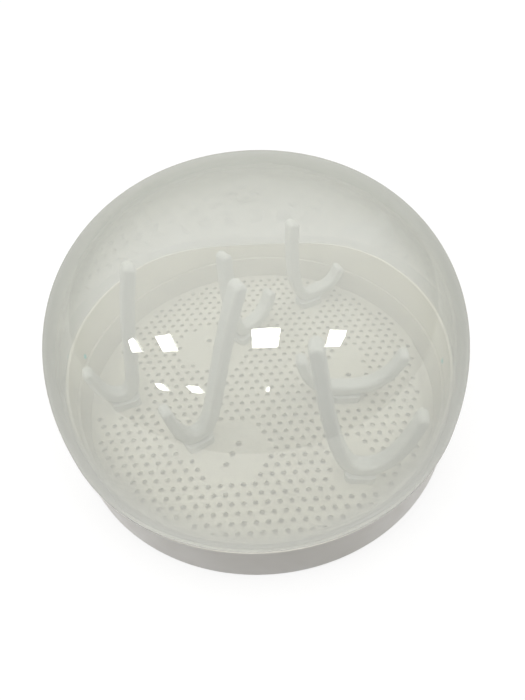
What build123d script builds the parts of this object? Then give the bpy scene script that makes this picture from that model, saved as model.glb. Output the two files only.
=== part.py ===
"""Microwave bottle sterilizer: a water bowl, a perforated tray with six bottle holders, and a clear dome.

Millimetres, +Z up, origin under the middle of the bowl. The front of the object faces -Y.
"""
import os
from math import cos, hypot, pi, radians, sin, sqrt
from typing import NamedTuple

from build123d import *

# Base: a round bowl with a side band that leans out a little
base_rim_radius = 138.5
base_side_lean = 0.9
base_height = 37.7
base_wall = 2.4
base_floor = 2.6
base_rim_round = 0.9
base_corner_round = 3.0
foot_ring_depth = 1.4
foot_ring_width = 6.0

# Ledge inside the base, which carries the tray and the lid
ledge_drop = 4.0
ledge_width = 4.6
ledge_lip = 2.2
ledge_slope = 5.0

# Lid: a clear shell with a superellipse for its outline
lid_overhang = 1.5
lid_widest_rise = 6.0
lid_rise = 133.0
lid_exponent = 2.369
lid_wall = 2.0
lid_skirt_clearance = 0.5
lid_skirt_straight = 4.6
lid_lean = 1.2
gate_radius = 6.0
gate_thickness = 0.8
gate_sink = 0.4
gate_nub_radius = 1.3
gate_nub_length = 0.7

# Tray, which hangs in the base from the bend of its wall
tray_wall_lean = 3.2
tray_depth = 16.7
tray_plate = 2.0
tray_wall_thickness = 1.7
tray_skirt_depth = 4.5
tray_clearance = 0.5
lid_tray_clearance = 0.7
side_chord_cut = 8.8
side_chord_turn = -4.7
side_well_depth = 2.5

# Rise of the tray's top edge above the ledge, and where along the tray each height lies
tray_front_rise = 2.3
tray_shoulder_rise = 11.8
tray_side_rise = 23.3
tray_crest_rise = 27.3
tray_back_rise = 19.3
tray_end_rise = 9.3
tray_shoulder_place = -76.2
tray_side_place = -8.0
tray_crest_place = 68.0
tray_back_place = 124.6

# Holes of the tray: a hexagonal lattice, turned a little
hole_diameter = 3.6
hole_pitch = 7.63
lattice_turn = 1.4
lattice_shift = (4.1, -11.95)
hole_edge_margin = 4.6
hole_foot_gap = 0.6

# Bottle holders
holder_width = 11.0
holder_edge_round = 2.4
foot_length = 20.0
foot_width = 15.0
foot_height = 6.0
foot_round = 4.0
valley_height = 10.0
arm_waist = 0.45
root_thickness = 9.5
tip_thickness = 8.0
short_tip_thickness = 7.0
short_arm_flatness = 0.5
short_arm_fullness = 0.82
peg_diameter = 4.0
peg_spacing = 12.0
peg_clearance = 0.05

# Studs in the tray's wall
stud_diameter = 3.4
stud_rise = 6.3
stud_stand_out = 0.4
stud_set_back = 0.2
stud_left_angle = 174.0
stud_right_angle = -3.0


class Holder(NamedTuple):
    """Where a holder stands, the way its short arm points, and how far and how high its arms reach."""

    x: float
    y: float
    heading: float
    long_reach: float
    long_top: float
    short_reach: float
    short_top: float
    flatness: float
    fullness: float


HOLDERS = {
    "holder_front_right": Holder(63.0, -81.0, -5.0, 31.5, 141.0, 29.5, 85.0, 0.5, 0.7),
    "holder_front_left": Holder(-44.5, -50.0, 212.0, 43.0, 138.0, 16.0, 67.0, 0.38, 0.4),
    "holder_back_right": Holder(42.0, 89.0, 24.0, 15.0, 103.0, 28.0, 46.0, 0.8, 1.15),
    "holder_left": Holder(-100.5, -12.5, 200.0, 29.0, 135.0, 17.0, 60.0, 0.48, 0.32),
    "holder_right": Holder(62.0, -16.0, 0.0, 33.0, 61.0, 36.5, 62.0, 0.6, 0.85),
    "holder_back": Holder(-12.5, 50.0, 43.0, 12.0, 107.0, 28.5, 48.0, 0.95, 1.1),
}

# Plain patches of the tray without holes: middle, half length along X, half length along Y
PLAIN_PATCHES = [
    ((-20.0, -59.0), 24.0, 24.0),
    ((-37.0, 40.0), 27.0, 25.0),
    ((65.0, 4.0), 14.0, 31.0),
    ((59.5, -74.0), 15.0, 20.0),
    ((44.0, 94.0), 14.0, 20.0),
    ((-108.0, 0.0), 17.0, 29.0),
]

# Larger drain holes in the patches: middle of the row, direction, spacing, count
drain_diameter = 4.4
DRAIN_ROWS = [
    ((-20.8, -61.6), 243.0, 9.0, 3),
    ((-37.3, 38.9), -56.0, 9.2, 3),
    ((66.3, 3.6), 0.0, 9.0, 1),
    ((48.1, 109.9), 0.0, 9.0, 1),
    ((-110.7, 0.0), 0.0, 9.0, 1),
]

# Sizes that follow from the ones above
base_bottom_radius = base_rim_radius - base_side_lean
base_inner_radius = base_rim_radius - base_wall
reservoir_floor = foot_ring_depth + base_floor
ledge_height = base_height - ledge_drop
ledge_inner_radius = base_inner_radius - ledge_width
lid_radius = base_rim_radius + lid_overhang
lid_widest_height = base_height + lid_widest_rise
lid_height = lid_widest_height + lid_rise
lid_skirt_outer = base_inner_radius - lid_skirt_clearance
lid_skirt_inner = lid_skirt_outer - lid_wall
tray_upper_outer = lid_skirt_inner - lid_tray_clearance
tray_lower_outer = ledge_inner_radius - tray_clearance
tray_floor_radius = tray_lower_outer - tray_wall_lean
tray_floor_top = ledge_height - tray_depth
tray_floor_bottom = tray_floor_top - tray_plate
tray_bottom = tray_floor_top - tray_skirt_depth
tray_bend = ledge_height + tray_wall_thickness
tray_crest_top = ledge_height + tray_crest_rise
side_chord = tray_floor_radius - side_chord_cut
well_top = tray_floor_top - side_well_depth
stud_height = ledge_height + stud_rise


def half_superellipse(radius, rise, steps=14):
    """Points of a quarter outline from the widest place up to the axis."""
    points = []
    for step in range(steps + 1):
        turn = 0.5 * pi * step / steps
        r = radius * cos(turn) ** (2 / lid_exponent) if step < steps else 0.0
        z = lid_widest_height + rise * sin(turn) ** (2 / lid_exponent)
        points.append((r, z))
    return points


def in_patch(x, y):
    """Whether a hole at this place would fall in one of the plain patches."""
    for (px, py), half_x, half_y in PLAIN_PATCHES:
        if hypot((x - px) / half_x, (y - py) / half_y) < 1:
            return True
    return False


def turned(x, y, angle):
    """A point turned about the origin by an angle in degrees."""
    a = radians(angle)
    return (x * cos(a) - y * sin(a), x * sin(a) + y * cos(a))


def lattice_points():
    """Middles of the small holes that fit on the tray's floor, clear of patches and feet."""
    reach = tray_floor_radius - hole_edge_margin
    chord_reach = side_chord - hole_edge_margin + hole_diameter / 2
    count = int(2 * reach / hole_pitch) + 2
    points = []
    for i in range(-count, count + 1):
        for j in range(-count, count + 1):
            along = hole_pitch * (i + 0.5 * j)
            across = hole_pitch * j * sqrt(3) / 2
            x, y = turned(along, across, lattice_turn)
            x += lattice_shift[0]
            y += lattice_shift[1]
            chord_x = turned(x, y, -side_chord_turn)[0]
            if hypot(x, y) > reach or abs(chord_x) > chord_reach:
                continue
            if in_patch(x, y) or under_foot(x, y):
                continue
            points.append((x, y))
    return points


def under_foot(x, y):
    """Whether a hole at this place would open under a holder's foot."""
    for stand in HOLDERS.values():
        along, across = turned(x - stand.x, y - stand.y, -stand.heading)
        margin = hole_diameter / 2 + hole_foot_gap
        if abs(along) < foot_length / 2 + margin and abs(across) < foot_width / 2 + margin:
            return True
    return False


def stud_plane(angle, radius):
    """The plane across a stud at a distance from the axis, facing outward."""
    return Plane(origin=(*turned(radius, 0, angle), stud_height), z_dir=(*turned(1, 0, angle), 0))


def arm_controls(reach, height, flatness, fullness):
    """Control points of an arm's centre line, from the middle of the foot to the arm's end."""
    return [
        (0, valley_height),
        (flatness * reach, valley_height),
        (fullness * reach, arm_waist * height),
        (reach, height),
    ]


def along_arm(controls, t):
    """A point of the arm's centre line, a cubic curve, and the unit direction there."""
    s = 1 - t
    weights = (s**3, 3 * s * s * t, 3 * s * t * t, t**3)
    slopes = (-3 * s * s, 3 * s * s - 6 * s * t, 6 * s * t - 3 * t * t, 3 * t * t)
    x, y = (sum(w * c[k] for w, c in zip(weights, controls)) for k in (0, 1))
    dx, dy = (sum(w * c[k] for w, c in zip(slopes, controls)) for k in (0, 1))
    size = hypot(dx, dy)
    return (x, y), (dx / size, dy / size)


def flank(controls, end_thickness, side, steps=6):
    """Points of one side of an arm, which thins from the foot to its end."""
    points = []
    for step in range(steps + 1):
        t = step / steps
        (x, y), (dx, dy) = along_arm(controls, t)
        half = (root_thickness + (end_thickness - root_thickness) * t) / 2
        points.append((x - dy * side * half, y + dx * side * half))
    return points


def arm_top(controls, end_thickness):
    """The outermost point of the round end of an arm."""
    (x, y), (dx, dy) = along_arm(controls, 1)
    return (x + dx * end_thickness / 2, y + dy * end_thickness / 2)


def drain_points():
    """Middles of the larger holes in the plain patches."""
    points = []
    for (x, y), direction, spacing, number in DRAIN_ROWS:
        for k in range(number):
            offset = spacing * (k - (number - 1) / 2)
            dx, dy = turned(offset, 0, direction)
            points.append((x + dx, y + dy))
    return points


def peg_points():
    """Middles of the peg holes under the holders' feet."""
    points = []
    for stand in HOLDERS.values():
        for side in (-1, 1):
            dx, dy = turned(side * peg_spacing / 2, 0, stand.heading)
            points.append((stand.x + dx, stand.y + dy))
    return points


os.makedirs("parts", exist_ok=True)

# Base bowl with its ledge and foot ring
with BuildPart() as base:
    with BuildSketch(Plane.XZ):
        with BuildLine():
            Polyline(
                (0, foot_ring_depth),
                (base_bottom_radius - foot_ring_width - foot_ring_depth, foot_ring_depth),
                (base_bottom_radius - foot_ring_width, 0),
                (base_bottom_radius, 0),
                (base_rim_radius, base_height),
                (base_inner_radius, base_height),
                (base_inner_radius, ledge_height),
                (ledge_inner_radius, ledge_height),
                (ledge_inner_radius, ledge_height - ledge_lip),
                (base_inner_radius, ledge_height - ledge_lip - ledge_slope),
                (base_inner_radius - base_side_lean, reservoir_floor),
                (0, reservoir_floor),
                close=True,
            )
        make_face()
    revolve(axis=Axis.Z)
    rim_edges = base.edges().filter_by(GeomType.CIRCLE).group_by(Axis.Z)[-1]
    fillet(rim_edges, base_rim_round)
    bottom_edge = base.edges().filter_by(GeomType.CIRCLE).group_by(Axis.Z)[0].sort_by(SortBy.RADIUS)[-1]
    fillet(bottom_edge, base_corner_round)
base.part.label = "base"
export_step(base.part, "parts/base.step")

# Perforated floor of the tray, with straight sides at the left and the right
with BuildPart() as tray_floor:
    with BuildSketch(Plane.XY.offset(tray_floor_bottom)):
        Circle(tray_floor_radius)
        Rectangle(2 * side_chord, 2 * tray_floor_radius, rotation=side_chord_turn, mode=Mode.INTERSECT)
        with Locations(*lattice_points()):
            Circle(hole_diameter / 2, mode=Mode.SUBTRACT)
        with Locations(*drain_points()):
            Circle(drain_diameter / 2, mode=Mode.SUBTRACT)
        with Locations(*peg_points()):
            Circle(peg_diameter / 2 + peg_clearance, mode=Mode.SUBTRACT)
    extrude(amount=tray_plate)
tray_floor.part.label = "tray_floor"
export_step(tray_floor.part, "parts/tray_floor.step")

# Upstanding edge of the tray, with the two side wells
with BuildPart() as tray_wall:
    with BuildSketch(Plane.XZ):
        with BuildLine():
            Polyline(
                (tray_floor_radius, tray_bottom),
                (tray_floor_radius + tray_wall_thickness, tray_bottom),
                (tray_lower_outer, ledge_height),
                (tray_upper_outer, ledge_height),
                (tray_upper_outer, tray_crest_top),
                (tray_upper_outer - tray_wall_thickness, tray_crest_top),
                (tray_upper_outer - tray_wall_thickness, tray_bend),
                (tray_lower_outer - tray_wall_thickness, tray_bend),
                (tray_floor_radius, tray_floor_top),
                close=True,
            )
        make_face()
    revolve(axis=Axis.Z)
    with BuildSketch(Plane.YZ.offset(-base_rim_radius)):
        with BuildLine():
            edge = Spline(
                (-base_rim_radius, ledge_height + tray_front_rise),
                (tray_shoulder_place, ledge_height + tray_shoulder_rise),
                (tray_side_place, ledge_height + tray_side_rise),
                (tray_crest_place, tray_crest_top),
                (tray_back_place, ledge_height + tray_back_rise),
                (base_rim_radius, ledge_height + tray_end_rise),
            )
            above = 2 * tray_crest_top
            Polyline(edge @ 1, (base_rim_radius, above), (-base_rim_radius, above), edge @ 0)
        make_face()
    extrude(amount=2 * base_rim_radius, mode=Mode.SUBTRACT)
    with BuildSketch(Plane.XY.offset(tray_bottom)):
        Circle(tray_floor_radius)
        Rectangle(2 * side_chord, 2 * base_rim_radius, rotation=side_chord_turn, mode=Mode.SUBTRACT)
    extrude(amount=well_top - tray_bottom)
    riser_inner = side_chord - tray_wall_thickness
    with BuildSketch(Plane.XY.offset(tray_bottom)):
        Circle(tray_floor_radius)
        Rectangle(2 * side_chord, 2 * base_rim_radius, rotation=side_chord_turn, mode=Mode.INTERSECT)
        Rectangle(2 * riser_inner, 2 * base_rim_radius, rotation=side_chord_turn, mode=Mode.SUBTRACT)
    extrude(amount=tray_floor_bottom - tray_bottom)
    for angle in (stud_left_angle, stud_right_angle):
        with BuildSketch(stud_plane(angle, tray_upper_outer)):
            Circle(stud_diameter / 2)
        extrude(amount=-2 * tray_wall_thickness, mode=Mode.SUBTRACT)
tray_wall.part.label = "tray_wall"
export_step(tray_wall.part, "parts/tray_wall.step")

# Turquoise studs, flush outside and standing a little proud inside
for name, angle in (("stud_left", stud_left_angle), ("stud_right", stud_right_angle)):
    stud_end = tray_upper_outer - stud_set_back
    with BuildPart() as stud:
        with BuildSketch(stud_plane(angle, stud_end)):
            Circle(stud_diameter / 2)
        extrude(amount=-(tray_wall_thickness - stud_set_back + stud_stand_out))
    stud.part.label = name
    export_step(stud.part, f"parts/{name}.step")

# Bottle holders: an arm that leans in, an arm that leans out, and a foot with two pegs
for name, stand in HOLDERS.items():
    end_in = stand.long_top - tray_floor_top - tip_thickness / 2
    end_out = stand.short_top - tray_floor_top - short_tip_thickness / 2
    arm_in = arm_controls(-stand.long_reach, end_in, stand.flatness, stand.fullness)
    arm_out = arm_controls(stand.short_reach, end_out, short_arm_flatness, short_arm_fullness)
    upper = flank(arm_in, tip_thickness, -1)[::-1][:-1] + flank(arm_out, short_tip_thickness, 1)
    lower = flank(arm_out, short_tip_thickness, -1)[::-1][:-1] + flank(arm_in, tip_thickness, 1)
    direction = Vector(*turned(1, 0, stand.heading))
    place = (stand.x, stand.y, tray_floor_top)
    upright = Plane(origin=place, x_dir=direction, z_dir=(direction.Y, -direction.X, 0))
    with BuildPart() as holder:
        with BuildSketch(upright):
            with BuildLine():
                inside = Spline(*upper)
                outside = Spline(*lower)
                ThreePointArc(inside @ 1, arm_top(arm_out, short_tip_thickness), outside @ 0)
                ThreePointArc(outside @ 1, arm_top(arm_in, tip_thickness), inside @ 0)
            make_face()
        extrude(amount=holder_width / 2, both=True)
        flanks = holder.faces().filter_by(GeomType.PLANE).sort_by(SortBy.AREA)[-2:]
        fillet(flanks.edges(), holder_edge_round)
        foot_plane = Plane(origin=place, x_dir=direction, z_dir=(0, 0, 1))
        with BuildSketch(foot_plane):
            RectangleRounded(foot_length, foot_width, foot_round)
        extrude(amount=foot_height)
        with BuildSketch(foot_plane):
            with GridLocations(peg_spacing, 0, 2, 1):
                Circle(peg_diameter / 2)
        extrude(amount=-tray_plate)
    holder.part.label = name
    export_step(holder.part, f"parts/{name}.step")

# Clear lid: a thin shell, drawn in at the bottom to a skirt that drops inside the base's rim
outer_points = half_superellipse(lid_radius, lid_height - lid_widest_height)
inner_points = half_superellipse(lid_radius - lid_wall, lid_height - lid_wall - lid_widest_height)
skirt_top = ledge_height + lid_skirt_straight
with BuildPart() as lid:
    with BuildSketch(Plane.XZ):
        with BuildLine():
            foot = Line((lid_skirt_inner, ledge_height), (lid_skirt_outer, ledge_height))
            outer_skirt = Line(foot @ 1, (lid_skirt_outer, skirt_top))
            outer_shoulder = Spline(outer_skirt @ 1, outer_points[0], tangents=[(lid_lean, 1), (0, 1)])
            outer_dome = Spline(*outer_points, tangents=[(0, 1), (-1, 0)])
            crown = Line(outer_dome @ 1, inner_points[-1])
            inner_dome = Spline(*reversed(inner_points), tangents=[(1, 0), (0, -1)])
            inner_skirt_top = (lid_skirt_inner, skirt_top)
            inner_shoulder = Spline(inner_dome @ 1, inner_skirt_top, tangents=[(0, -1), (-lid_lean, -1)])
            inner_skirt = Line(inner_skirt_top, foot @ 0)
        make_face()
    revolve(axis=Axis.Z)
    crown_inside = lid_height - lid_wall
    with Locations((0, 0, crown_inside + (gate_sink - gate_thickness) / 2)):
        Cylinder(gate_radius, gate_thickness + gate_sink)
    with Locations((0, 0, crown_inside - gate_thickness - gate_nub_length / 2)):
        Cylinder(gate_nub_radius, gate_nub_length)
lid.part.label = "lid"
export_step(lid.part, "parts/lid.step")
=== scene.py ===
"""Finishes, studio and camera for the microwave bottle sterilizer.

A round water bowl carries a perforated tray with six bottle holders, and a clear
dome lid stands on the ledge inside the bowl's rim. Lengths are in metres.
"""
import math

import bpy
import numpy as np
from bpy.props import FloatProperty, FloatVectorProperty, PointerProperty
from mathutils import Matrix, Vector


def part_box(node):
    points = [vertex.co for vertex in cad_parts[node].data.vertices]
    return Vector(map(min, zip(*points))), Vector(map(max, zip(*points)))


bl_info = {
    "name": "Bottle Sterilizer Finishes",
    "version": (1, 0, 0),
    "blender": (4, 5, 0),
    "location": "View3D > Sidebar > Sterilizer",
    "description": "Moulded plastic finishes, clear lid and studio for a bottle sterilizer",
    "category": "Object",
}

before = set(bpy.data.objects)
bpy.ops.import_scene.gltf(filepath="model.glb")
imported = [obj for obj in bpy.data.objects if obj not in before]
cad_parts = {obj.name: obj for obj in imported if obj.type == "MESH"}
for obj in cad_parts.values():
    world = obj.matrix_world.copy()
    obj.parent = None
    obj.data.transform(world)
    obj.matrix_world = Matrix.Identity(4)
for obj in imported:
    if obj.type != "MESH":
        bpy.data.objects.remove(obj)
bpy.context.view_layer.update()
LID_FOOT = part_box("lid")[0][2]

HOLDERS = (
    "holder_front_right",
    "holder_front_left",
    "holder_back_right",
    "holder_left",
    "holder_right",
    "holder_back",
)
STUDS = ("stud_left", "stud_right")
TRAY_PIECES = ("tray_floor", "tray_wall")

# Moulded plastic: sizes of its patches, the part of each noise that counts, and the grain
MOTTLING_SIZE = 0.05
MOTTLING_NOISE = (0.35, 0.70)
DULLNESS_SIZE = 0.012
DULLNESS_NOISE = (0.3, 0.7)
DULLNESS_SPREAD = (-0.05, 0.07)
DULLNESS_SHIFT = (3.0, 1.0, 2.0)
GRAIN_DETAIL = 2.0
GRAIN_STRENGTH = 0.35
GRAIN_DEPTH = 0.00002
PLASTIC_IOR = 1.5

# Clear lid: the slants over which each layer changes, 0 seen head on and 1 seen along the face
# The first slants are those over which the haze's colour darkens to a painted shade towards the
# edge of the view
MILK_SHADE_SLANT = (0.32, 0.62)
HAZE_SLANT = (0.42, 0.95)
GLOSS_SLANT = (0.30, 0.75)

# Clear lid: the haze's share lit from behind, its slow flow marks and its fine flat scuffs
MILK_THROUGH = 0.28
FLOW_SIZE = 0.06
FLOW_DETAIL = 4.0
FLOW_NOISE = (0.3, 0.7)
FLOW_HAZE = (0.92, 1.03)
SCUFF_LENGTH = 0.05
SCUFF_FLATNESS = 45.0
SCUFF_DETAIL = 5.0
SCUFF_NOISE = (0.56, 0.66)

# Clear lid: colour of its gloss, and how many foot rises the gloss seen along the face reaches
SHINE_COLOUR = (1.0, 1.0, 0.965)
BROW_RISES = 3

# Camera of the photograph, in the frame of the bowl
CAMERA_PLACE = (0.012053, -0.249081, 0.320954)
CAMERA_ELEVATION = math.radians(47.844)
CAMERA_ROLL = math.radians(2.594)
CAMERA_LENS = 26.547
CAMERA_SENSOR = 36.0
CAMERA_SHIFT = (-0.01997, 0.00877)
CAMERA_NEAREST = 0.01

# Ceiling panels that the dome mirrors: x and y of each middle, width and length
PANELS = (
    (-2.24, -0.54, 0.31, 0.33),
    (-1.29, -0.61, 0.31, 0.33),
    (0.12, -0.645, 0.31, 0.33),
    (1.14, -0.685, 0.31, 0.33),
    (-2.32, -1.92, 0.31, 0.30),
    (-1.28, -1.91, 0.28, 0.30),
    (0.19, -1.93, 0.05, 0.18),
)
PANEL_HEIGHT = 1.6
PANEL_COLOUR = (1.0, 0.995, 0.975)

# Room: its colours, and the heights, sides and depths over which ceiling and walls come up
ROOM_COLOUR = (1.0, 0.995, 0.98)
BACKDROP_COLOUR = (0.8, 0.8, 0.8)
CEILING_HEIGHT = (0.35, 1.0)
WALL_SIDE = (0.1, 0.8)
WALL_DEPTH = (-0.6, 0.1)
FLOOR_STEPS = 8

# Rays that show the floor and the room as a plain pale background, and rays that carry light
SEEN_DIRECTLY = ("Is Camera Ray", "Is Glossy Ray", "Is Transmission Ray")
LIGHT_CARRIERS = ("Is Shadow Ray", "Is Diffuse Ray")


def colour_setting(name, description, default):
    """A colour that the panel shows as a swatch."""
    return FloatVectorProperty(
        name=name, description=description, subtype="COLOR", size=3,
        min=0.0, max=1.0, default=default,
    )


def share_setting(name, description, default):
    """A share from nothing to all of it."""
    return FloatProperty(
        name=name, description=description, subtype="FACTOR",
        min=0.0, max=1.0, default=default,
    )


def length_setting(name, description, default):
    """A length in metres."""
    return FloatProperty(
        name=name, description=description, subtype="DISTANCE", unit="LENGTH",
        min=0.0, default=default, precision=5,
    )


def brightness_setting(name, description, default):
    """A brightness, where 1 is white."""
    return FloatProperty(name=name, description=description, min=0.0, default=default)


class BowlFinish(bpy.types.PropertyGroup):
    """Sizes and colours of the water bowl's finish."""

    colour: colour_setting("Colour", "Colour of the bowl's plastic", (0.76, 0.735, 0.69))
    stain: colour_setting("Stain", "Colour that its mottling leans to", (0.71, 0.685, 0.635))
    roughness: share_setting("Roughness", "How dull the satin surface is", 0.34)
    grain: length_setting("Grain", "Size of the mould's fine grain", 0.0009)


class TrayFinish(bpy.types.PropertyGroup):
    """Sizes and colours of the perforated tray's finish."""

    colour: colour_setting("Colour", "Colour of the tray's plastic", (0.845, 0.825, 0.74))
    stain: colour_setting("Stain", "Colour that its mottling leans to", (0.795, 0.775, 0.68))
    roughness: share_setting("Roughness", "How dull the tray is", 0.45)
    grain: length_setting("Grain", "Size of the mould's fine grain", 0.0008)
    glow: share_setting("Glow", "Share of its light that comes through from behind", 0.37)


class HolderFinish(bpy.types.PropertyGroup):
    """Sizes and colours of the bottle holders' finish."""

    colour: colour_setting("Colour", "Colour of the holders", (0.74, 0.75, 0.72))
    stain: colour_setting("Stain", "Colour that their mottling leans to", (0.69, 0.70, 0.665))
    roughness: share_setting("Roughness", "How dull the holders are", 0.5)
    grain: length_setting("Grain", "Size of the mould's fine grain", 0.0012)
    glow: share_setting("Glow", "Share of their light that comes through from behind", 0.25)


class StudFinish(bpy.types.PropertyGroup):
    """Sizes and colours of the small studs' finish."""

    colour: colour_setting("Colour", "Colour of the studs", (0.0, 0.60, 0.62))
    stain: colour_setting("Stain", "Colour that their mottling leans to", (0.0, 0.55, 0.57))
    roughness: share_setting("Roughness", "How dull the studs are", 0.4)
    grain: length_setting("Grain", "Size of the mould's fine grain", 0.0005)


class LidFinish(bpy.types.PropertyGroup):
    """Colours, haze and gloss of the clear lid."""

    tint: colour_setting("Tint", "Colour of light that passes one face", (0.98, 0.985, 0.97))
    haze_colour: colour_setting("Haze colour", "Colour of the milky haze", (0.56, 0.57, 0.555))
    # Painted shade: the darker colour that the haze takes when seen along the face
    painted_edge_shade: colour_setting(
        "Painted edge shade", "Colour of the haze seen along the face", (0.405, 0.415, 0.385)
    )
    haze: share_setting("Haze", "Haze of one face seen head on", 0.33)
    edge_haze: share_setting("Edge haze", "Haze of one face seen along it", 0.80)
    scuffs: share_setting("Scuffs", "Haze that fine scuffs round the foot of the wall add", 0.16)
    gloss: share_setting("Gloss", "Mirroring of one face seen head on", 0.16)
    edge_gloss: share_setting("Edge gloss", "Mirroring of one face seen along it", 0.135)
    foot_gloss: share_setting("Foot gloss", "Mirroring of the foot of the wall", 0.28)
    foot_edge_gloss: share_setting(
        "Foot edge gloss", "Mirroring of the foot of the wall seen along it", 0.36
    )
    foot_rise: length_setting(
        "Foot rise", "Height over which the foot's gloss and scuffs thin out", 0.038
    )
    roughness: share_setting("Roughness", "How blurred its reflections are", 0.01)
    lamp_haze: share_setting(
        "Haze for lamps", "Share of the haze and gloss that holds back the light inside", 0.12
    )


class StudioSettings(bpy.types.PropertyGroup):
    """Light and floor of the studio."""

    panel_radiance: brightness_setting(
        "Panel brightness", "Brightness of each ceiling panel", 10.0
    )
    room_low: brightness_setting(
        "Room at the sides", "Brightness of the room near the horizon", 0.05
    )
    room_high: brightness_setting("Room above", "Brightness of the room overhead", 1.86)
    room_side: brightness_setting(
        "Room beside", "Brightness of the walls at the left and the right", 1.10
    )
    floor_colour: colour_setting("Floor", "Colour of the pale floor", (0.80, 0.80, 0.795))
    floor_bounce: colour_setting(
        "Floor bounce", "Colour of the light off the floor", (0.06, 0.06, 0.059)
    )
    floor_width: length_setting("Floor width", "Width of the floor", 24.0)
    floor_lift: share_setting("Floor white", "Share of the floor seen as plain white", 0.75)


class SterilizerSettings(bpy.types.PropertyGroup):
    """All settings of the sterilizer's look."""

    bowl: PointerProperty(type=BowlFinish, name="Bowl", description="Finish of the bowl")
    tray: PointerProperty(type=TrayFinish, name="Tray", description="Finish of the tray")
    holder: PointerProperty(type=HolderFinish, name="Holders", description="Finish of the holders")
    stud: PointerProperty(type=StudFinish, name="Studs", description="Finish of the studs")
    lid: PointerProperty(type=LidFinish, name="Lid", description="Finish of the lid")
    studio: PointerProperty(type=StudioSettings, name="Studio", description="Light and floor")


def new_material(name):
    """An empty node material, its tree and its output."""
    material = bpy.data.materials.new(name)
    material.use_nodes = True
    tree = material.node_tree
    tree.nodes.clear()
    return material, tree, tree.nodes.new("ShaderNodeOutputMaterial")


def feed(tree, value, socket):
    """Links the output of a node to a socket, or sets the socket to a number."""
    if isinstance(value, bpy.types.NodeSocket):
        tree.links.new(value, socket)
    else:
        socket.default_value = value


def axes(tree, coordinates):
    """The outputs X, Y and Z of one kind of texture coordinates."""
    place = tree.nodes.new("ShaderNodeTexCoord")
    parts = tree.nodes.new("ShaderNodeSeparateXYZ")
    tree.links.new(place.outputs[coordinates], parts.inputs["Vector"])
    return parts.outputs


def object_noise(tree, size, detail=3.0, offset=(0.0, 0.0, 0.0), flatness=1.0):
    """Noise on Object coordinates. Its lumps are about size metres wide, and their height is
    their width divided by flatness."""
    place = tree.nodes.new("ShaderNodeTexCoord")
    mapping = tree.nodes.new("ShaderNodeMapping")
    mapping.inputs["Location"].default_value = offset
    mapping.inputs["Scale"].default_value = (1.0, 1.0, flatness)
    noise = tree.nodes.new("ShaderNodeTexNoise")
    noise.inputs["Scale"].default_value = 1.0 / size
    noise.inputs["Detail"].default_value = detail
    tree.links.new(place.outputs["Object"], mapping.inputs["Vector"])
    tree.links.new(mapping.outputs["Vector"], noise.inputs["Vector"])
    return noise.outputs["Fac"]


def remap(tree, value, taken, given, smooth=False):
    """Carries a value from the range taken to the range given, held at the ends: in a straight
    line, or along an S where smooth. An end is a number or the output of a node."""
    node = tree.nodes.new("ShaderNodeMapRange")
    node.interpolation_type = "SMOOTHSTEP" if smooth else "LINEAR"
    tree.links.new(value, node.inputs["Value"])
    for name, end in zip(("From Min", "From Max", "To Min", "To Max"), (*taken, *given)):
        feed(tree, end, node.inputs[name])
    return node.outputs["Result"]


def combine(tree, operation, first, second):
    """Two values put through one operation of a Math node."""
    node = tree.nodes.new("ShaderNodeMath")
    node.operation = operation
    tree.links.new(first, node.inputs[0])
    tree.links.new(second, node.inputs[1])
    return node.outputs["Value"]


def product(tree, first, second):
    """Two values multiplied."""
    return combine(tree, "MULTIPLY", first, second)


def total(tree, first, second):
    """Two values added."""
    return combine(tree, "ADD", first, second)


def larger(tree, first, second):
    """The larger of two values."""
    return combine(tree, "MAXIMUM", first, second)


def any_ray(tree, kinds):
    """1 for a ray of any of these kinds, and 0 for any other."""
    path = tree.nodes.new("ShaderNodeLightPath")
    found = path.outputs[kinds[0]]
    for kind in kinds[1:]:
        found = larger(tree, found, path.outputs[kind])
    return found


def mixed_colour(tree, share, first, second):
    """The first colour where share is 0 and the second where it is 1."""
    node = tree.nodes.new("ShaderNodeMix")
    node.data_type = "RGBA"
    node.inputs["A"].default_value = (*first, 1.0)
    node.inputs["B"].default_value = (*second, 1.0)
    tree.links.new(share, node.inputs["Factor"])
    return node.outputs["Result"]


def mixed_shader(tree, share, first, second):
    """The first shader where share is 0 and the second where it is 1. share is a number or the
    output of a node."""
    node = tree.nodes.new("ShaderNodeMixShader")
    feed(tree, share, node.inputs["Fac"])
    tree.links.new(first, node.inputs[1])
    tree.links.new(second, node.inputs[2])
    return node.outputs["Shader"]


def moulded_plastic(name, finish, glow=0.0):
    """Moulded plastic: broad mottling in the colour, uneven dullness and a fine grain in the bump.
    glow is the share of light that comes through the thin wall from behind."""
    material, tree, output = new_material(name)
    shader = tree.nodes.new("ShaderNodeBsdfPrincipled")
    shader.inputs["IOR"].default_value = PLASTIC_IOR
    patches = object_noise(tree, MOTTLING_SIZE)
    mottling = remap(tree, patches, MOTTLING_NOISE, (0.0, 1.0), smooth=True)
    paint = mixed_colour(tree, mottling, finish.colour, finish.stain)
    tree.links.new(paint, shader.inputs["Base Color"])
    rubbed = object_noise(tree, DULLNESS_SIZE, offset=DULLNESS_SHIFT)
    spread = [finish.roughness + change for change in DULLNESS_SPREAD]
    tree.links.new(remap(tree, rubbed, DULLNESS_NOISE, spread), shader.inputs["Roughness"])
    bump = tree.nodes.new("ShaderNodeBump")
    bump.inputs["Strength"].default_value = GRAIN_STRENGTH
    bump.inputs["Distance"].default_value = GRAIN_DEPTH
    tree.links.new(object_noise(tree, finish.grain, detail=GRAIN_DETAIL), bump.inputs["Height"])
    tree.links.new(bump.outputs["Normal"], shader.inputs["Normal"])
    surface = shader.outputs["BSDF"]
    if glow > 0.0:
        behind = tree.nodes.new("ShaderNodeBsdfTranslucent")
        tree.links.new(paint, behind.inputs["Color"])
        surface = mixed_shader(tree, glow, surface, behind.outputs["BSDF"])
    tree.links.new(surface, output.inputs["Surface"])
    return material


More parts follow.
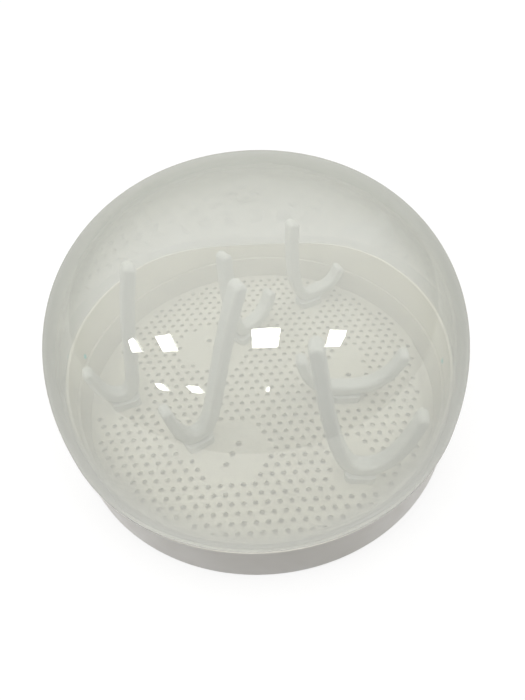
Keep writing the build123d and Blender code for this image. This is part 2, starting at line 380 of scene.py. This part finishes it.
def up_the_wall(tree, height, rise, at_foot, above):
    """A value that goes along an S from at_foot at the lid's lowest edge to above, rise metres
    higher."""
    return remap(tree, height, (LID_FOOT, LID_FOOT + rise), (at_foot, above), smooth=True)


def clear_plastic(name, finish):
    """Clear plastic as a film on each face, in three layers. What is behind shows through the
    lowest with a tint. Over it lies a milky haze that grows towards the edge of the view, times
    its slow flow marks and plus the scuffs round the foot of the wall; towards the edge of the
    view its colour turns to a painted shade. On top lies a gloss that changes the same way and is
    strongest at the foot. For rays that carry light to what stands inside, haze and gloss are
    multiplied by the small share lamp_haze."""
    material, tree, output = new_material(name)
    facing = tree.nodes.new("ShaderNodeLayerWeight")
    facing.inputs["Blend"].default_value = 0.5
    slant = facing.outputs["Facing"]
    height = axes(tree, "Object")["Z"]
    carries = any_ray(tree, LIGHT_CARRIERS)
    held = remap(tree, carries, (0.0, 1.0), (1.0, finish.lamp_haze))

    film = tree.nodes.new("ShaderNodeBsdfTransparent")
    film.inputs["Color"].default_value = (*finish.tint, 1.0)

    # Painted shade: the haze's colour darkens towards the edge of the view
    edge = remap(tree, slant, MILK_SHADE_SLANT, (0.0, 1.0), smooth=True)
    milk_colour_and_edge_shade = mixed_colour(tree, edge, finish.haze_colour, finish.painted_edge_shade)
    matt = tree.nodes.new("ShaderNodeBsdfDiffuse")
    tree.links.new(milk_colour_and_edge_shade, matt.inputs["Color"])
    through = tree.nodes.new("ShaderNodeBsdfTranslucent")
    tree.links.new(milk_colour_and_edge_shade, through.inputs["Color"])
    milk = mixed_shader(tree, MILK_THROUGH, matt.outputs["BSDF"], through.outputs["BSDF"])

    clouding = remap(tree, slant, HAZE_SLANT, (finish.haze, finish.edge_haze), smooth=True)
    waves = object_noise(tree, FLOW_SIZE, detail=FLOW_DETAIL)
    flow = remap(tree, waves, FLOW_NOISE, FLOW_HAZE)
    streaks = object_noise(tree, SCUFF_LENGTH, detail=SCUFF_DETAIL, flatness=SCUFF_FLATNESS)
    scuffs = product(
        tree,
        remap(tree, streaks, SCUFF_NOISE, (0.0, 1.0)),
        up_the_wall(tree, height, finish.foot_rise, finish.scuffs, 0.0),
    )
    haze = total(tree, product(tree, clouding, flow), scuffs)
    hazy = mixed_shader(tree, product(tree, haze, held), film.outputs["BSDF"], milk)

    shine = tree.nodes.new("ShaderNodeBsdfGlossy")
    shine.inputs["Color"].default_value = (*SHINE_COLOUR, 1.0)
    shine.inputs["Roughness"].default_value = finish.roughness
    brow_rise = BROW_RISES * finish.foot_rise
    brow = up_the_wall(tree, height, brow_rise, finish.foot_edge_gloss, finish.edge_gloss)
    foot = up_the_wall(tree, height, finish.foot_rise, finish.foot_gloss, 0.0)
    mirror = remap(tree, slant, GLOSS_SLANT, (finish.gloss, brow), smooth=True)
    gloss = product(tree, larger(tree, mirror, foot), held)
    surface = mixed_shader(tree, gloss, hazy, shine.outputs["BSDF"])
    tree.links.new(surface, output.inputs["Surface"])
    return material


def dress(pieces, material):
    """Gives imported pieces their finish."""
    for piece in pieces:
        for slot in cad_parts[piece].material_slots:
            slot.material = material


class STERILIZER_OT_bowl(bpy.types.Operator):
    """Finish the water bowl."""

    bl_idname = "sterilizer.bowl"
    bl_label = "Bowl finish"

    def execute(self, context):
        finish = context.scene.sterilizer.bowl
        dress(("base",), moulded_plastic("bowl_plastic", finish))
        return {"FINISHED"}


class STERILIZER_OT_tray(bpy.types.Operator):
    """Finish the perforated tray and its wall."""

    bl_idname = "sterilizer.tray"
    bl_label = "Tray finish"

    def execute(self, context):
        finish = context.scene.sterilizer.tray
        dress(TRAY_PIECES, moulded_plastic("tray_plastic", finish, glow=finish.glow))
        return {"FINISHED"}


class STERILIZER_OT_holders(bpy.types.Operator):
    """Finish the six bottle holders."""

    bl_idname = "sterilizer.holders"
    bl_label = "Holder finish"

    def execute(self, context):
        finish = context.scene.sterilizer.holder
        dress(HOLDERS, moulded_plastic("holder_plastic", finish, glow=finish.glow))
        return {"FINISHED"}


class STERILIZER_OT_studs(bpy.types.Operator):
    """Finish the two small studs in the tray's wall."""

    bl_idname = "sterilizer.studs"
    bl_label = "Stud finish"

    def execute(self, context):
        finish = context.scene.sterilizer.stud
        dress(STUDS, moulded_plastic("stud_plastic", finish))
        return {"FINISHED"}


class STERILIZER_OT_lid(bpy.types.Operator):
    """Finish the clear dome lid."""

    bl_idname = "sterilizer.lid"
    bl_label = "Lid finish"

    def execute(self, context):
        finish = context.scene.sterilizer.lid
        dress(("lid",), clear_plastic("lid_plastic", finish))
        return {"FINISHED"}


def flat_grid(name, width, steps):
    """A square of width metres at height 0: x and y run evenly over a grid of steps by steps."""
    line = np.linspace(-width / 2, width / 2, steps + 1)
    x, y = np.meshgrid(line, line, indexing="ij")
    points = np.stack([x, y, np.zeros_like(x)], axis=-1).reshape(-1, 3)
    index = np.arange((steps + 1) ** 2).reshape(steps + 1, steps + 1)
    faces = np.stack(
        [index[:-1, :-1], index[1:, :-1], index[1:, 1:], index[:-1, 1:]], axis=-1
    ).reshape(-1, 4)
    mesh = bpy.data.meshes.new(name)
    mesh.from_pydata(points.tolist(), [], faces.tolist())
    piece = bpy.data.objects.new(name, mesh)
    bpy.context.scene.collection.objects.link(piece)
    return piece


def floor_paint(studio):
    """A pale floor that reads as white around the object and keeps its shadow. Light that comes
    off it towards the object is that of a much darker floor."""
    material, tree, output = new_material("floor_paint")
    seen = any_ray(tree, SEEN_DIRECTLY)
    matt = tree.nodes.new("ShaderNodeBsdfDiffuse")
    colour = mixed_colour(tree, seen, studio.floor_bounce, studio.floor_colour)
    tree.links.new(colour, matt.inputs["Color"])
    white = tree.nodes.new("ShaderNodeEmission")
    white.inputs["Strength"].default_value = 1.0
    share = remap(tree, seen, (0.0, 1.0), (0.0, studio.floor_lift))
    surface = mixed_shader(tree, share, matt.outputs["BSDF"], white.outputs["Emission"])
    tree.links.new(surface, output.inputs["Surface"])
    return material


def soft_room(studio):
    """A room that lights the object from overhead and from both sides: the ceiling comes up with
    the height of a direction, and the side walls with its distance to either side, except in
    front. Where the room is seen, it is an even pale grey."""
    world = bpy.data.worlds.new("soft_room")
    world.use_nodes = True
    tree = world.node_tree
    tree.nodes.clear()
    output = tree.nodes.new("ShaderNodeOutputWorld")
    direction = axes(tree, "Generated")
    ceiling = remap(
        tree, direction["Z"], CEILING_HEIGHT, (studio.room_low, studio.room_high), smooth=True
    )
    aside = tree.nodes.new("ShaderNodeMath")
    aside.operation = "ABSOLUTE"
    tree.links.new(direction["X"], aside.inputs[0])
    walls = product(
        tree,
        remap(tree, aside.outputs["Value"], WALL_SIDE, (0.0, studio.room_side), smooth=True),
        remap(tree, direction["Y"], WALL_DEPTH, (0.0, 1.0), smooth=True),
    )
    light = tree.nodes.new("ShaderNodeBackground")
    light.inputs["Color"].default_value = (*ROOM_COLOUR, 1.0)
    tree.links.new(total(tree, ceiling, walls), light.inputs["Strength"])
    backdrop = tree.nodes.new("ShaderNodeBackground")
    backdrop.inputs["Color"].default_value = (*BACKDROP_COLOUR, 1.0)
    backdrop.inputs["Strength"].default_value = 1.0
    seen = any_ray(tree, SEEN_DIRECTLY)
    surface = mixed_shader(
        tree, seen, light.outputs["Background"], backdrop.outputs["Background"]
    )
    tree.links.new(surface, output.inputs["Surface"])
    return world


def ceiling_panel(name, x, y, width, length, radiance):
    """A ceiling panel that shines down; its power is pi times its area times its brightness."""
    lamp = bpy.data.lights.new(name, "AREA")
    lamp.shape = "RECTANGLE"
    lamp.size = width
    lamp.size_y = length
    lamp.energy = math.pi * width * length * radiance
    lamp.color = PANEL_COLOUR
    panel = bpy.data.objects.new(name, lamp)
    panel.location = (x, y, PANEL_HEIGHT)
    panel.visible_camera = False
    bpy.context.scene.collection.objects.link(panel)
    return panel


def photo_camera():
    """The photograph's camera: rolled about its line of sight, tilted up from straight down by a
    right angle less its elevation, and moved to its place."""
    lens = bpy.data.cameras.new("photo_camera")
    lens.sensor_width = CAMERA_SENSOR
    lens.lens = CAMERA_LENS
    lens.shift_x, lens.shift_y = CAMERA_SHIFT
    lens.clip_start = CAMERA_NEAREST
    camera = bpy.data.objects.new("photo_camera", lens)
    tilt = Matrix.Rotation(math.pi / 2 - CAMERA_ELEVATION, 4, "X")
    roll = Matrix.Rotation(-CAMERA_ROLL, 4, "Z")
    camera.matrix_world = Matrix.Translation(CAMERA_PLACE) @ tilt @ roll
    bpy.context.scene.collection.objects.link(camera)
    return camera


class STERILIZER_OT_studio(bpy.types.Operator):
    """Set up the floor, the light and the camera of the photograph."""

    bl_idname = "sterilizer.studio"
    bl_label = "Studio"

    def execute(self, context):
        scene = context.scene
        studio = scene.sterilizer.studio
        floor = flat_grid("floor", studio.floor_width, FLOOR_STEPS)
        floor.data.materials.append(floor_paint(studio))
        scene.world = soft_room(studio)
        for number, (x, y, width, length) in enumerate(PANELS):
            ceiling_panel(f"ceiling_panel_{number}", x, y, width, length, studio.panel_radiance)
        scene.camera = photo_camera()
        scene.view_settings.view_transform = "Standard"
        return {"FINISHED"}


OPERATORS = (
    STERILIZER_OT_bowl,
    STERILIZER_OT_tray,
    STERILIZER_OT_holders,
    STERILIZER_OT_studs,
    STERILIZER_OT_lid,
    STERILIZER_OT_studio,
)


class STERILIZER_PT_panel(bpy.types.Panel):
    """Finishes and studio of the sterilizer."""

    bl_idname = "STERILIZER_PT_panel"
    bl_label = "Bottle sterilizer"
    bl_space_type = "VIEW_3D"
    bl_region_type = "UI"
    bl_category = "Sterilizer"

    def draw(self, context):
        settings = context.scene.sterilizer
        groups = ("bowl", "tray", "holder", "stud", "lid", "studio")
        for group_name, operator in zip(groups, OPERATORS):
            box = self.layout.box()
            group = getattr(settings, group_name)
            for key in type(group).__annotations__:
                box.prop(group, key)
            box.operator(operator.bl_idname)


CLASSES = (
    BowlFinish,
    TrayFinish,
    HolderFinish,
    StudFinish,
    LidFinish,
    StudioSettings,
    SterilizerSettings,
    *OPERATORS,
    STERILIZER_PT_panel,
)


def register():
    """Registers the classes and puts the settings on the scene."""
    for cls in CLASSES:
        bpy.utils.register_class(cls)
    bpy.types.Scene.sterilizer = PointerProperty(
        type=SterilizerSettings, name="Sterilizer", description="Settings of the sterilizer's look"
    )


def unregister():
    """Takes the settings off the scene and the classes out again."""
    del bpy.types.Scene.sterilizer
    for cls in reversed(CLASSES):
        bpy.utils.unregister_class(cls)


def main():
    register()
    bpy.ops.sterilizer.bowl()
    bpy.ops.sterilizer.tray()
    bpy.ops.sterilizer.holders()
    bpy.ops.sterilizer.studs()
    bpy.ops.sterilizer.lid()
    bpy.ops.sterilizer.studio()


if __name__ == "__main__":
    main()
